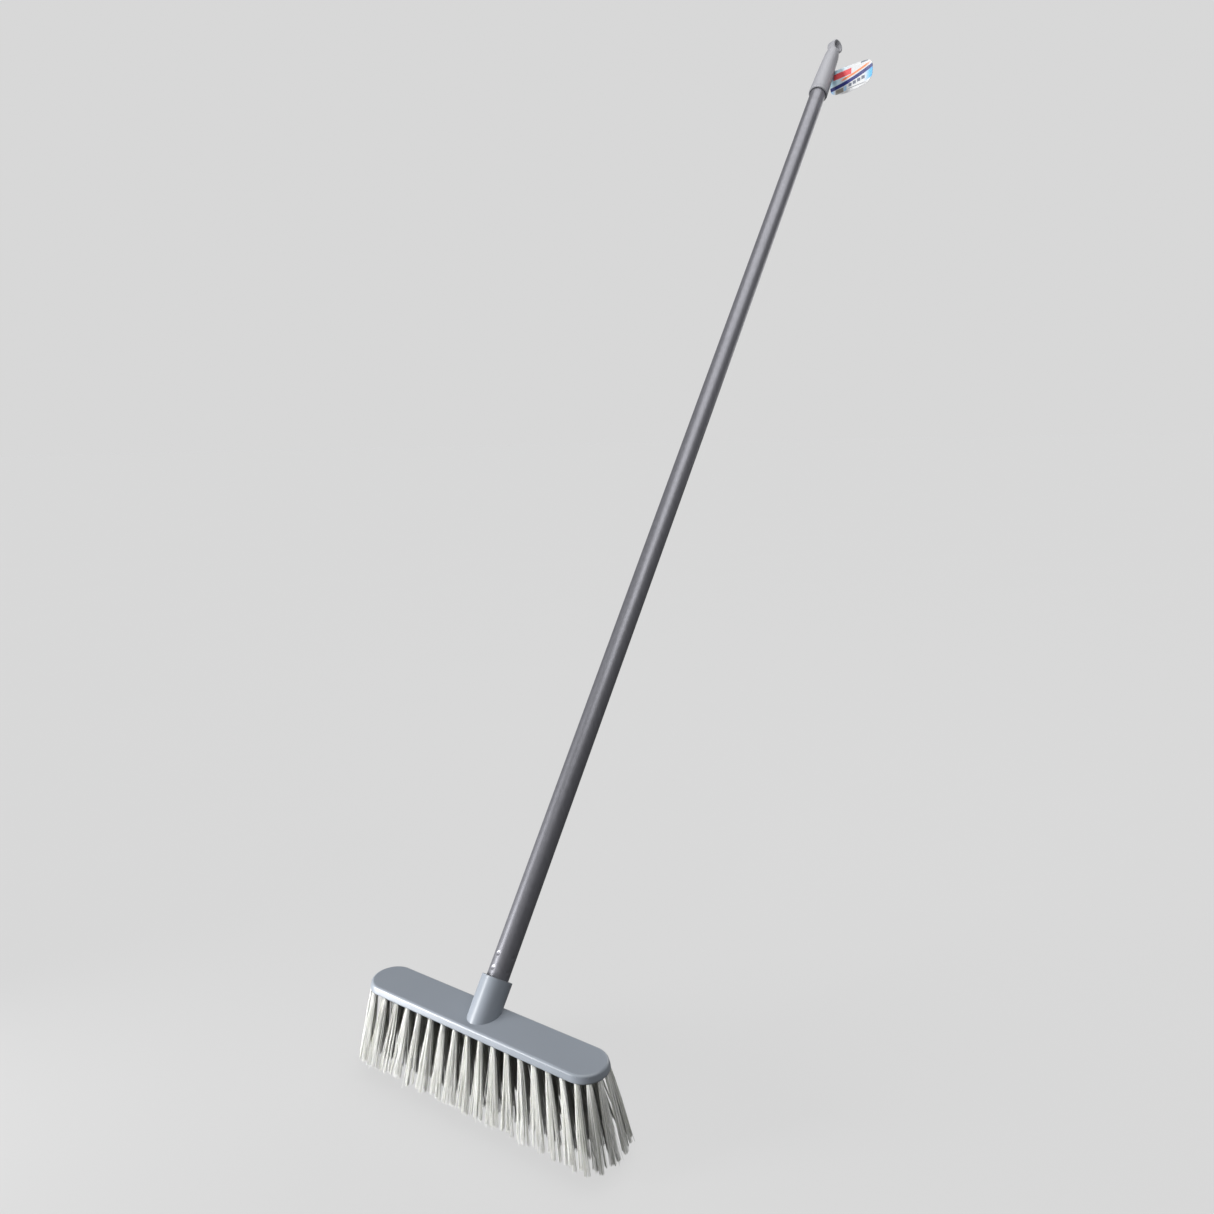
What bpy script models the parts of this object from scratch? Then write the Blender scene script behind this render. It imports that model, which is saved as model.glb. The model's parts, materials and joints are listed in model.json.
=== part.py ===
"""Household broom: plastic brush block with an angled screw socket, bristle tufts, a coated steel
tube handle with a threaded plastic insert, a hanger cap and a card tag.

Metres, +Z up. The origin is the centre of the hanging eye in the cap. X runs along the brush block,
the block is level, and the handle leans towards +Y as it rises.
"""

import math

import bmesh
import bpy
from mathutils import Matrix, Vector

# ---- general ----
GAP = 0.0003                    # between pieces that touch
HANDLE_TILT = math.radians(37.8)    # between the handle and the block's upright

# ---- brush block ----
BLOCK_LENGTH = 0.2846           # at its underside, as is the width
BLOCK_WIDTH = 0.0473
BLOCK_THICKNESS = 0.008
BLOCK_DRAFT = 0.0021            # the sides lean in by this much over the thickness
BLOCK_EDGE_RADIUS = 0.0012
SOCKET_OFFSET = 0.004           # the handle's axis meets the top this far behind the centre line

# ---- socket, measured up the handle's axis from the block's top ----
SOCKET_HEIGHT = 0.0327
SOCKET_WALL = 0.00405           # round the tube, at its mouth
SOCKET_TAPER = 0.0003           # it is narrower than that at its foot
SOCKET_SINK = 0.003             # how far its foot reaches into the block
SOCKET_LIP_RADIUS = 0.0008
MOUTH_DEPTH = 0.008             # plain recess that takes the end of the tube
BORE_DEPTH = 0.0265

# ---- screw thread ----
THREAD_PITCH = 0.004
THREAD_TURNS = 4
THREAD_INSET = 0.0015           # the insert's thread is this much smaller in radius than the tube
THREAD_DEPTH = 0.0013
THREAD_CREST = 0.0010           # axial width at the crest
THREAD_ROOT = 0.0024            # axial width at the root
THREAD_CLEARANCE = 0.0004       # radial, between insert and socket
THREAD_FLANK_GAP = 0.0005       # axial, on both flanks together
THREAD_TIP_GAP = 0.0006         # between the insert's end and the bore's floor
GROOVE_LEAD = 0.2               # turns by which the socket's groove starts before the insert's thread
GROOVE_RUNOUT = 0.6             # and by which it goes on past it, into the mouth

# ---- tube ----
TUBE_RADIUS = 0.011             # over the coating
TUBE_LENGTH = 1.286
COATING_WALL = 0.00045
STEEL_WALL = 0.0005
TUBE_CLEARANCE = 0.00035        # radial, in the socket's mouth and in the cap

# ---- threaded insert ----
INSERT_SHANK = 0.044            # length inside the tube
SHOULDER_THICKNESS = 0.0012
CRIMP_HEIGHTS = (0.0142, 0.0277)    # of the two rings of crimps, above the tube's lower end
CRIMPS_PER_RING = 4
CRIMP_TURN = math.radians(-100)     # of the first crimp in each ring, about the handle from +X
CRIMP_DEPTH = 0.0003
CRIMP_BALL = 0.003              # radius of the punch that leaves the crimp
CRIMP_GROOVE_WIDTH = 0.005
CRIMP_GROOVE_DEPTH = 0.0008

# ---- hanger cap, measured down the handle's axis from the eye's centre ----
EYE_ABOVE_TUBE = 0.0655         # from the tube's upper end
CAP_RIM = 0.101                 # its open end
CAP_RIM_PROUD = 0.00245         # how far it stands out past the tube's surface, here and below
CAP_WAIST = 0.060
CAP_WAIST_PROUD = 0.0012
CAP_NECK = 0.021
CAP_NECK_PROUD = -0.0006
CAP_CROWN = 0.0065
CAP_CROWN_PROUD = -0.001
EYE_RADIUS = 0.0098             # outside of the flat lug round the eye
EYE_THICKNESS = 0.013
EYE_EDGE_RADIUS = 0.0015
EYE_HOLE_RADIUS = 0.0045        # at its narrowest
EYE_FLARE = 0.0038              # the hole is wider than that at each mouth
CAP_TURN = math.radians(-20)    # of the eye about the handle, from +X

# ---- card tag ----
TAG_LENGTH = 0.078
TAG_HEIGHT = 0.036
TAG_THICKNESS = 0.0006
TAG_CORNER = 0.009
TAG_TURN = math.radians(-25)    # of its length about the upright, from +X
TAG_DROP = 0.047                # its top is level with this point on the handle, below the eye
TAG_OVERLAP = 0.008             # how far it reaches behind the cap
TAG_GAP = 0.001                 # from the cap to the middle of the card's thickness

# ---- bristle tufts ----
TUFT_PITCH = 0.0154
TUFT_END_ROOM = 0.0185          # least distance along X from a side's last tuft to the block's end
TUFTS_PER_END = 4
TUFT_INSET = 0.0044             # outer tufts from the block's edge
HOLE_RADIUS = 0.0026
HOLE_DEPTH = 0.006
TUFT_ROOT_RADIUS = 0.0021
BRISTLE_LENGTH = 0.074          # below the block
FAN = 0.16                      # a tip lies further along X than its root by this share
END_FAN = 0.13                  # the same for the tufts round each end
SIDE_SPLAY = 0.013              # how far the outer tips lean out towards front and back
INNER_SPLAY = 0.006
TIP_DEPTH = 0.0042              # half the depth of a tuft's tip, across the block's edge
SIDE_TIP_SHARE = 0.532          # half its width, along the edge, as a share of the pitch
INNER_TIP_SHARE = 0.597
END_TIP_WIDTH = 0.0054          # the same in metres for the tufts round each end

# ---- worked out from the sizes above ----
HANDLE_UP = Vector((0, math.sin(HANDLE_TILT), math.cos(HANDLE_TILT)))
SOCKET_RADIUS = TUBE_RADIUS + TUBE_CLEARANCE + SOCKET_WALL
TUBE_BOTTOM = SOCKET_HEIGHT - MOUTH_DEPTH + SHOULDER_THICKNESS + 2 * GAP
EYE_TO_BLOCK = TUBE_BOTTOM + TUBE_LENGTH + EYE_ABOVE_TUBE
FOOT = -EYE_TO_BLOCK * HANDLE_UP            # where the handle's axis meets the block's top
THREAD_RADIUS = TUBE_RADIUS - THREAD_INSET  # crest of the insert's thread
THREAD_BOTTOM = SOCKET_HEIGHT - BORE_DEPTH + THREAD_TIP_GAP
THREAD_START = THREAD_BOTTOM + THREAD_ROOT / 2      # middle of its first turn
SIDE_HALF_COUNT = math.floor((BLOCK_LENGTH / 2 - TUFT_END_ROOM) / TUFT_PITCH)
TUFTS_PER_SIDE = 2 * SIDE_HALF_COUNT + 1
ROW_COUNTS = {"front": TUFTS_PER_SIDE - 1, "middle": TUFTS_PER_SIDE, "back": TUFTS_PER_SIDE - 1}
ROW_SPACING = (BLOCK_WIDTH / 2 - TUFT_INSET) / 2
SIDE_TIP = (SIDE_TIP_SHARE * TUFT_PITCH, TIP_DEPTH)
INNER_TIP = (INNER_TIP_SHARE * TUFT_PITCH, TIP_DEPTH)
END_TIP = (END_TIP_WIDTH, TIP_DEPTH)
BLOCK_CENTRE = Vector((0, -SOCKET_OFFSET, 0))       # of the block's top, from FOOT


# ---- scene helpers ----
def clear_scene():
    for obj in list(bpy.data.objects):
        bpy.data.objects.remove(obj, do_unlink=True)


def new_collection(name):
    collection = bpy.data.collections.new(name)
    bpy.context.scene.collection.children.link(collection)
    return collection


def new_material(name, colour, roughness, metallic=0.0):
    material = bpy.data.materials.new(name)
    material.use_nodes = True
    shader = material.node_tree.nodes["Principled BSDF"]
    shader.inputs["Base Color"].default_value = (*colour, 1)
    shader.inputs["Roughness"].default_value = roughness
    shader.inputs["Metallic"].default_value = metallic
    return material


def add_object(name, mesh, collection, parent, material=None):
    obj = bpy.data.objects.new(name, mesh)
    collection.objects.link(obj)
    obj.parent = parent
    if material:
        mesh.materials.append(material)
    return obj


def add_empty(name, collection, place):
    empty = bpy.data.objects.new(name, None)
    collection.objects.link(empty)
    empty.matrix_world = place
    return empty


def mesh_from(bm, name):
    bmesh.ops.recalc_face_normals(bm, faces=bm.faces)
    mesh = bpy.data.meshes.new(name)
    bm.to_mesh(mesh)
    bm.free()
    return mesh


def add_cutter(name, mesh, collection, parent):
    cutter = add_object(name, mesh, collection, parent)
    cutter.hide_render = True
    cutter.display_type = "WIRE"
    return cutter


def combine(obj, other, operation):
    modifier = obj.modifiers.new(f"{operation.lower()} {other.name}", "BOOLEAN")
    modifier.object = other
    modifier.operation = operation
    modifier.solver = "EXACT"


def turn(obj, steps):
    """Spin an object's profile all the way round its own Z axis."""
    screw = obj.modifiers.new("turn", "SCREW")
    screw.steps = steps
    screw.render_steps = steps
    screw.use_merge_vertices = True
    screw.merge_threshold = 0.00001


def profile_mesh(name, points, closed=False):
    """A turned profile: (radius, height) points down the outer side, top to bottom."""
    count = len(points)
    edges = [(i, i + 1) for i in range(count - 1)]
    if closed:
        edges.append((count - 1, 0))
    mesh = bpy.data.meshes.new(name)
    mesh.from_pydata([(radius, 0, height) for radius, height in points], edges, [])
    return mesh


def round_edges(obj, width, segments=2, angle=math.radians(50)):
    bevel = obj.modifiers.new("rounded edges", "BEVEL")
    bevel.width = width
    bevel.segments = segments
    bevel.limit_method = "ANGLE"
    bevel.angle_limit = angle


# ---- brush block ----
def block_mesh():
    """A plate with round ends, its sides drawn in towards the top, which is at height 0."""
    end_radius = BLOCK_WIDTH / 2
    bm = bmesh.new()
    for side in (-1, 1):
        end = BLOCK_CENTRE + Vector((side * (BLOCK_LENGTH / 2 - end_radius), 0, 0))
        place = Matrix.Translation(end - Vector((0, 0, BLOCK_THICKNESS / 2)))
        bmesh.ops.create_cone(bm, cap_ends=True, segments=40, radius1=end_radius,
                              radius2=end_radius - BLOCK_DRAFT, depth=BLOCK_THICKNESS, matrix=place)
    hull = bmesh.ops.convex_hull(bm, input=bm.verts)
    bmesh.ops.delete(bm, geom=hull["geom_interior"] + hull["geom_unused"], context="VERTS")
    bmesh.ops.dissolve_limit(bm, angle_limit=0.001, verts=bm.verts, edges=bm.edges)
    return mesh_from(bm, "block")


def socket_mesh():
    """A slightly tapered post up the handle's axis, its foot cut level inside the block."""
    bm = bmesh.new()
    bmesh.ops.create_cone(bm, cap_ends=True, segments=36, radius1=SOCKET_RADIUS - SOCKET_TAPER,
                          radius2=SOCKET_RADIUS, depth=SOCKET_HEIGHT,
                          matrix=Matrix.Translation((0, 0, SOCKET_HEIGHT / 2)))
    up = Vector((0, -math.sin(HANDLE_TILT), math.cos(HANDLE_TILT)))     # the block's upright, here
    for vert in bm.verts:
        if vert.co.z < SOCKET_HEIGHT / 2:
            vert.co.z -= (vert.co.dot(up) + SOCKET_SINK) / up.z
    return mesh_from(bm, "socket")


def socket_bore():
    """Bore down the socket: a plain mouth for the tube, then the thread's minor diameter."""
    mouth = TUBE_RADIUS + TUBE_CLEARANCE
    minor = THREAD_RADIUS - THREAD_DEPTH + THREAD_CLEARANCE
    floor = SOCKET_HEIGHT - MOUTH_DEPTH
    top = SOCKET_HEIGHT + 0.002
    points = [(0, top), (mouth, top), (mouth, floor), (minor, floor),
              (minor, SOCKET_HEIGHT - BORE_DEPTH), (0, SOCKET_HEIGHT - BORE_DEPTH)]
    return profile_mesh("socket_bore", points)


def thread_ridge(name, base, crest, base_width, crest_width, turns, lead=0.0):
    """A trapezoid swept up a right-hand helix round Z. Without a lead it starts at the angle of +X."""
    steps = 20      # in each turn
    start = Matrix.Rotation(-math.tau * lead, 3, "Z")
    bottom = THREAD_START - lead * THREAD_PITCH
    corners = [(base, -base_width / 2), (crest, -crest_width / 2), (crest, crest_width / 2),
               (base, base_width / 2)]
    bm = bmesh.new()
    face = bm.faces.new([bm.verts.new(start @ Vector((radius, 0, bottom + height)))
                         for radius, height in corners])
    bmesh.ops.spin(bm, geom=[face, *face.edges, *face.verts], cent=(0, 0, 0), axis=(0, 0, 1),
                   dvec=(0, 0, THREAD_PITCH / steps), angle=math.tau * (turns + lead),
                   steps=round((turns + lead) * steps), use_duplicate=False)
    return mesh_from(bm, name)


def socket_thread():
    """The groove in the socket's wall, which runs out into the mouth."""
    minor = THREAD_RADIUS - THREAD_DEPTH + THREAD_CLEARANCE
    overlap = 0.0002
    slope = (THREAD_ROOT - THREAD_CREST) / THREAD_DEPTH
    crest_width = THREAD_CREST + THREAD_FLANK_GAP
    base_width = crest_width + slope * (THREAD_DEPTH + overlap)
    return thread_ridge("socket_thread", minor - overlap, THREAD_RADIUS + THREAD_CLEARANCE,
                        base_width, crest_width, THREAD_TURNS + GROOVE_RUNOUT, GROOVE_LEAD)


def ring_places():
    """Centre and outward direction of each outer tuft, seen from the block's centre."""
    end_radius = BLOCK_WIDTH / 2
    ring_radius = end_radius - TUFT_INSET
    straight = BLOCK_LENGTH / 2 - end_radius
    last = (TUFTS_PER_SIDE - 1) / 2 * TUFT_PITCH
    into_end = (last - straight) / ring_radius          # angle of a side's last tuft round the end
    places = []
    for side in (-1, 1):
        for index in range(TUFTS_PER_SIDE):
            along = (index - (TUFTS_PER_SIDE - 1) / 2) * TUFT_PITCH
            past = max(0.0, abs(along) - straight) / ring_radius
            reach = math.copysign(min(abs(along), straight), along)
            outward = Vector((math.copysign(math.sin(past), along), side * math.cos(past), 0))
            places.append((Vector((reach, 0, 0)) + ring_radius * outward, outward))
    step = (math.pi - 2 * into_end) / (TUFTS_PER_END + 1)
    for end in (-1, 1):
        for index in range(TUFTS_PER_END):
            angle = -math.pi / 2 + into_end + (index + 1) * step
            outward = Vector((end * math.cos(angle), math.sin(angle), 0))
            places.append((Vector((end * straight, 0, 0)) + ring_radius * outward, outward))
    return places


def row_places():
    """Name, tuft centres and splay of each inner row."""
    rows = []
    for name, side in (("front", -1), ("middle", 0), ("back", 1)):
        count = ROW_COUNTS[name]
        centres = [Vector(((index - (count - 1) / 2) * TUFT_PITCH, side * ROW_SPACING, 0))
                   for index in range(count)]
        rows.append((name, centres, side * INNER_SPLAY))
    return rows


def tuft_holes():
    bm = bmesh.new()
    centres = [centre for centre, _ in ring_places()]
    for _, row, _ in row_places():
        centres += row
    overshoot = 0.001
    middle = BLOCK_CENTRE + Vector((0, 0, -BLOCK_THICKNESS + (HOLE_DEPTH - overshoot) / 2))
    for centre in centres:
        bmesh.ops.create_cone(bm, cap_ends=True, segments=8, radius1=HOLE_RADIUS, radius2=HOLE_RADIUS,
                              depth=HOLE_DEPTH + overshoot, matrix=Matrix.Translation(middle + centre))
    return mesh_from(bm, "tuft_holes")


def make_block(parts, cutters, head, handle, material):
    block = add_object("brush_block", block_mesh(), parts, head, material)
    round_edges(block, BLOCK_EDGE_RADIUS)
    socket = add_cutter("socket_post", socket_mesh(), cutters, handle)
    round_edges(socket, SOCKET_LIP_RADIUS, angle=math.radians(60))
    bore = add_cutter("socket_bore", socket_bore(), cutters, handle)
    turn(bore, 32)
    combine(block, socket, "UNION")
    combine(block, bore, "DIFFERENCE")
    combine(block, add_cutter("socket_thread", socket_thread(), cutters, handle), "DIFFERENCE")
    combine(block, add_cutter("tuft_holes", tuft_holes(), cutters, head), "DIFFERENCE")


# ---- bristles ----
def loft_tuft(bm, root, across, splay, fan, tip):
    """One tuft: round in its hole, opening into a flat oval at its tip, and leaning out."""
    along = Vector((-across.y, across.x, 0))
    lean = Vector((fan * root.x, splay * across.y, 0))
    hole_top = -BLOCK_THICKNESS + HOLE_DEPTH - GAP
    levels = [(hole_top, 0.0), (-BLOCK_THICKNESS, 0.0),
              (-BLOCK_THICKNESS - BRISTLE_LENGTH / 3, 0.37), (-BLOCK_THICKNESS - BRISTLE_LENGTH, 1.0)]
    sides = 8
    rings = []
    for height, share in levels:
        width = TUFT_ROOT_RADIUS + share * (tip[0] - TUFT_ROOT_RADIUS)
        depth = TUFT_ROOT_RADIUS + share * (tip[1] - TUFT_ROOT_RADIUS)
        centre = BLOCK_CENTRE + root + Vector((0, 0, height)) + share * lean
        angles = [math.tau * side / sides for side in range(sides)]
        rings.append([bm.verts.new(centre + width * math.cos(a) * along + depth * math.sin(a) * across)
                      for a in angles])
    for upper, lower in zip(rings, rings[1:]):
        for side in range(sides):
            after = (side + 1) % sides
            bm.faces.new((upper[side], upper[after], lower[after], lower[side]))
    bm.faces.new(rings[0])
    bm.faces.new(reversed(rings[-1]))


def make_outer_tufts(parts, head, material):
    for number, (centre, outward) in enumerate(ring_places(), 1):
        fan, tip = (END_FAN, END_TIP) if outward.x else (FAN, SIDE_TIP)
        bm = bmesh.new()
        loft_tuft(bm, centre, outward, SIDE_SPLAY, fan, tip)
        name = f"outer_tuft_{number:02d}"
        add_object(name, mesh_from(bm, name), parts, head, material)


def make_inner_rows(parts, cutters, head, material):
    """The tips of neighbours in a row run together, so each row is one piece."""
    for name, centres, splay in row_places():
        halves = []
        for start in (0, 1):
            bm = bmesh.new()
            for centre in centres[start::2]:
                loft_tuft(bm, centre, Vector((0, 1, 0)), splay, FAN, INNER_TIP)
            halves.append(mesh_from(bm, f"{name}_row_{start}"))
        row = add_object(f"inner_row_{name}", halves[0], parts, head, material)
        combine(row, add_cutter(f"{name}_row_rest", halves[1], cutters, head), "UNION")


# ---- handle ----
def tube_profile(name, outer, wall, bottom, top):
    points = [(outer, top), (outer, bottom), (outer - wall, bottom), (outer - wall, top)]
    return profile_mesh(name, points, closed=True)


def crimp_cutter():
    """Balls that dent the tube over the insert's grooves."""
    bm = bmesh.new()
    reach = TUBE_RADIUS - CRIMP_DEPTH + CRIMP_BALL
    for height in CRIMP_HEIGHTS:
        for index in range(CRIMPS_PER_RING):
            angle = CRIMP_TURN + math.tau * index / CRIMPS_PER_RING
            centre = Vector((reach * math.cos(angle), reach * math.sin(angle), TUBE_BOTTOM + height))
            turn_out = Matrix.Rotation(angle, 4, "Z")
            bmesh.ops.create_uvsphere(bm, u_segments=12, v_segments=8, radius=CRIMP_BALL,
                                      matrix=Matrix.Translation(centre) @ turn_out)
    return mesh_from(bm, "crimp_balls")


def make_tube(parts, cutters, handle, coating, steel):
    top = TUBE_BOTTOM + TUBE_LENGTH
    skin = add_object("tube_coating", tube_profile("tube_coating", TUBE_RADIUS, COATING_WALL,
                                                   TUBE_BOTTOM, top), parts, handle, coating)
    turn(skin, 32)
    combine(skin, add_cutter("crimps", crimp_cutter(), cutters, handle), "DIFFERENCE")
    steel_radius = TUBE_RADIUS - COATING_WALL - GAP
    core = add_object("steel_tube", tube_profile("steel_tube", steel_radius, STEEL_WALL,
                                                 TUBE_BOTTOM, top), parts, handle, steel)
    turn(core, 32)


def insert_profile():
    """Shank with two grooves, a shoulder that stops the tube, and the core of the thread."""
    bore = TUBE_RADIUS - COATING_WALL - GAP - STEEL_WALL
    shank = bore - TUBE_CLEARANCE
    core = THREAD_RADIUS - THREAD_DEPTH
    shoulder_top = TUBE_BOTTOM - GAP
    top = TUBE_BOTTOM + INSERT_SHANK
    chamfer = 0.001
    points = [(0, top), (shank - chamfer, top), (shank, top - chamfer)]
    for height in reversed(CRIMP_HEIGHTS):
        middle = TUBE_BOTTOM + height
        half = CRIMP_GROOVE_WIDTH / 2
        waist = shank - CRIMP_GROOVE_DEPTH
        points += [(shank, middle + half), (waist, middle + half - CRIMP_GROOVE_DEPTH),
                   (waist, middle - half + CRIMP_GROOVE_DEPTH), (shank, middle - half)]
    points += [(shank, shoulder_top), (TUBE_RADIUS, shoulder_top),
               (TUBE_RADIUS, shoulder_top - SHOULDER_THICKNESS),
               (core, shoulder_top - SHOULDER_THICKNESS),
               (core, THREAD_BOTTOM), (0, THREAD_BOTTOM)]
    return profile_mesh("threaded_insert", points)


def make_insert(parts, cutters, handle, material):
    insert = add_object("threaded_insert", insert_profile(), parts, handle, material)
    turn(insert, 32)
    overlap = 0.0003
    base_width = THREAD_ROOT + overlap * (THREAD_ROOT - THREAD_CREST) / THREAD_DEPTH
    ridge = thread_ridge("thread_ridge", THREAD_RADIUS - THREAD_DEPTH - overlap, THREAD_RADIUS,
                         base_width, THREAD_CREST, THREAD_TURNS)
    combine(insert, add_cutter("thread_ridge", ridge, cutters, handle), "UNION")


# ---- hanger cap ----
def cap_profile():
    """A cup over the end of the tube, narrowing to a rounded crown below the eye."""
    bore = TUBE_RADIUS + TUBE_CLEARANCE
    bore_top = TUBE_BOTTOM + TUBE_LENGTH + GAP
    eye = EYE_TO_BLOCK
    crown = TUBE_RADIUS + CAP_CROWN_PROUD
    rim = TUBE_RADIUS + CAP_RIM_PROUD
    lip = 0.001
    return [(0, eye - CAP_CROWN + 0.003), (crown * 0.7, eye - CAP_CROWN + 0.002),
            (crown, eye - CAP_CROWN - 0.002), (TUBE_RADIUS + CAP_NECK_PROUD, eye - CAP_NECK),
            (TUBE_RADIUS + CAP_WAIST_PROUD, eye - CAP_WAIST), (rim, eye - CAP_RIM + lip),
            (rim - lip / 2, eye - CAP_RIM), (bore, eye - CAP_RIM),
            (bore, bore_top), (0, bore_top)]


def eye_hole_profile():
    """The hole's flared wall, as an arc of an ellipse, for turning about the hole's axis."""
    half = EYE_THICKNESS / 2
    steps = 8
    overshoot = 0.005
    points = [(0, half + overshoot), (EYE_HOLE_RADIUS + EYE_FLARE, half + overshoot)]
    for index in range(steps + 1):
        angle = math.pi / 2 - math.pi * index / steps
        radius = EYE_HOLE_RADIUS + EYE_FLARE * (1 - math.cos(angle))
        points.append((radius, half * math.sin(angle)))
    return points + [(EYE_HOLE_RADIUS + EYE_FLARE, -half - overshoot), (0, -half - overshoot)]


def make_cap(parts, cutters, handle, material):
    cap = add_object("hanger_cap", profile_mesh("hanger_cap", cap_profile()), parts, handle, material)
    turn(cap, 32)
    across = Matrix.Translation((0, 0, EYE_TO_BLOCK)) @ Matrix.Rotation(CAP_TURN, 4, "Z") \
        @ Matrix.Rotation(math.pi / 2, 4, "Y")
    bm = bmesh.new()
    bmesh.ops.create_cone(bm, cap_ends=True, segments=32, radius1=EYE_RADIUS, radius2=EYE_RADIUS,
                          depth=EYE_THICKNESS)
    lug = add_cutter("eye_lug", mesh_from(bm, "eye_lug"), cutters, handle)
    lug.matrix_local = across
    round_edges(lug, EYE_EDGE_RADIUS, segments=4)
    hole = add_cutter("eye_hole", profile_mesh("eye_hole", eye_hole_profile()), cutters, handle)
    hole.matrix_local = across
    turn(hole, 24)
    combine(cap, lug, "UNION")
    combine(cap, hole, "DIFFERENCE")


# ---- card tag ----
def tag_standoff():
    """From the handle's axis to the card, level, where the card's top passes behind the cap."""
    share = (TAG_DROP - CAP_NECK) / (CAP_WAIST - CAP_NECK)
    radius = TUBE_RADIUS + CAP_NECK_PROUD + share * (CAP_WAIST_PROUD - CAP_NECK_PROUD)
    level_cut = math.hypot(math.sin(TAG_TURN), math.cos(TAG_TURN) / math.cos(HANDLE_TILT))
    return radius * level_cut + TAG_GAP


def make_tag(parts, material):
    """A flat card standing upright behind the cap, with rounded corners."""
    level = -TAG_DROP * HANDLE_UP
    turned = Matrix.Rotation(TAG_TURN, 4, "Z")
    along = turned @ Vector((1, 0, 0))
    back = turned @ Vector((0, 1, 0))
    middle = level + tag_standoff() * back + (TAG_LENGTH / 2 - TAG_OVERLAP) * along
    middle -= Vector((0, 0, TAG_HEIGHT / 2))
    bm = bmesh.new()
    bmesh.ops.create_cube(bm, size=1, matrix=Matrix.Diagonal((TAG_LENGTH, TAG_THICKNESS, TAG_HEIGHT, 1)))
    corners = [edge for edge in bm.edges if edge.calc_length() < 2 * TAG_THICKNESS]
    bmesh.ops.bevel(bm, geom=corners, offset=TAG_CORNER, segments=6, profile=0.5, affect="EDGES")
    tag = add_object("hang_tag", mesh_from(bm, "hang_tag"), parts, None, material)
    tag.matrix_world = Matrix.Translation(middle) @ turned


# ---- the whole broom ----
def shade_round(parts):
    for obj in parts.objects:
        if obj.type == "MESH":
            obj.data.shade_smooth()
            obj.data.set_sharp_from_angle(angle=math.radians(35))


def build():
    clear_scene()
    parts = new_collection("household_broom")
    cutters = new_collection("cutters")
    handle = add_empty("handle_axis", parts,
                       Matrix.Translation(FOOT) @ Matrix.Rotation(-HANDLE_TILT, 4, "X"))
    head = add_empty("block_top", parts, Matrix.Translation(FOOT))
    bpy.context.view_layer.update()
    grey = new_material("block_plastic", (0.27, 0.31, 0.36), 0.35)
    make_block(parts, cutters, head, handle, grey)
    bristle = new_material("bristle_fibre", (0.82, 0.83, 0.78), 0.5)
    make_outer_tufts(parts, head, bristle)
    make_inner_rows(parts, cutters, head, bristle)
    make_tube(parts, cutters, handle, new_material("tube_coating", (0.33, 0.33, 0.35), 0.3),
              new_material("bare_steel", (0.56, 0.57, 0.58), 0.35, metallic=1.0))
    make_insert(parts, cutters, handle, new_material("insert_plastic", (0.05, 0.05, 0.055), 0.45))
    make_cap(parts, cutters, handle, new_material("cap_plastic", (0.5, 0.51, 0.56), 0.4))
    make_tag(parts, new_material("tag_card", (0.85, 0.88, 0.92), 0.6))
    shade_round(parts)


build()
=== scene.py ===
"""Looks of a household broom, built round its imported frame: tufts of single filaments, the moulded
block with its screw socket, the coated tube with its crimps, the hanger cap, the threaded insert
and a printed card. Metres, +Z up, in the frame of the CAD model.
"""

import json
import math
import random

import bmesh
import bpy
from mathutils import Matrix, Vector


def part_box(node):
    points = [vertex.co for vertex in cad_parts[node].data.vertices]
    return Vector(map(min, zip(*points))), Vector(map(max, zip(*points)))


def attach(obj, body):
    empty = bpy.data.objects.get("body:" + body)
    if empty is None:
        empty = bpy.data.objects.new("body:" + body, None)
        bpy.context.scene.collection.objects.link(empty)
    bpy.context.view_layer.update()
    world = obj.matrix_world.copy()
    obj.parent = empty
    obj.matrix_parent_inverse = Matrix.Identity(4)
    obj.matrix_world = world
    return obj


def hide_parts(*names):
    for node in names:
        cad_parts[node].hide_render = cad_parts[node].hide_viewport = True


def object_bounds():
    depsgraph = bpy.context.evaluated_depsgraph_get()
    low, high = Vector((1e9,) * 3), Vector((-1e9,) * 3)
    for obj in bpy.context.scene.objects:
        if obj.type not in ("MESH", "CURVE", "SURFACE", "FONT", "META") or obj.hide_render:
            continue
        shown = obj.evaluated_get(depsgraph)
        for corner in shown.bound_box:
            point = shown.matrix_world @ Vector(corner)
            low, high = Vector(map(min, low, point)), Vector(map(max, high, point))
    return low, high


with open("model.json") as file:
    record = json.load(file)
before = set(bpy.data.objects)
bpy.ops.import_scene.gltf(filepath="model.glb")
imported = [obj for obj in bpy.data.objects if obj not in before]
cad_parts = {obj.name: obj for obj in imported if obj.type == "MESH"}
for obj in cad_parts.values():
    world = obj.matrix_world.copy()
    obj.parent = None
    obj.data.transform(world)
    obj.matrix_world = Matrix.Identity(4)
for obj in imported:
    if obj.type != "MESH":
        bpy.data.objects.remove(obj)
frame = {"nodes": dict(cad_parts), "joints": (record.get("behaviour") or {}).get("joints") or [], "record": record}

CAD_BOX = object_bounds()
NODES = frame["nodes"]
BEHAVIOUR = frame["record"]["behaviour"]
TURN_JOINT = next(joint for joint in frame["joints"] if joint["name"] == "head_turn")

# ---- the handle's axis, with its origin where it meets the block's top ----
UP = -Vector(TURN_JOINT["axis"])
FOOT = Vector(TURN_JOINT["pos_m"])
TILT = math.atan2(UP.y, UP.z)
HANDLE = Matrix.Translation(FOOT) @ Matrix.Rotation(-TILT, 4, "X")
EYE = FOOT.length                   # height of the hanging eye, which is the frame's origin

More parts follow.
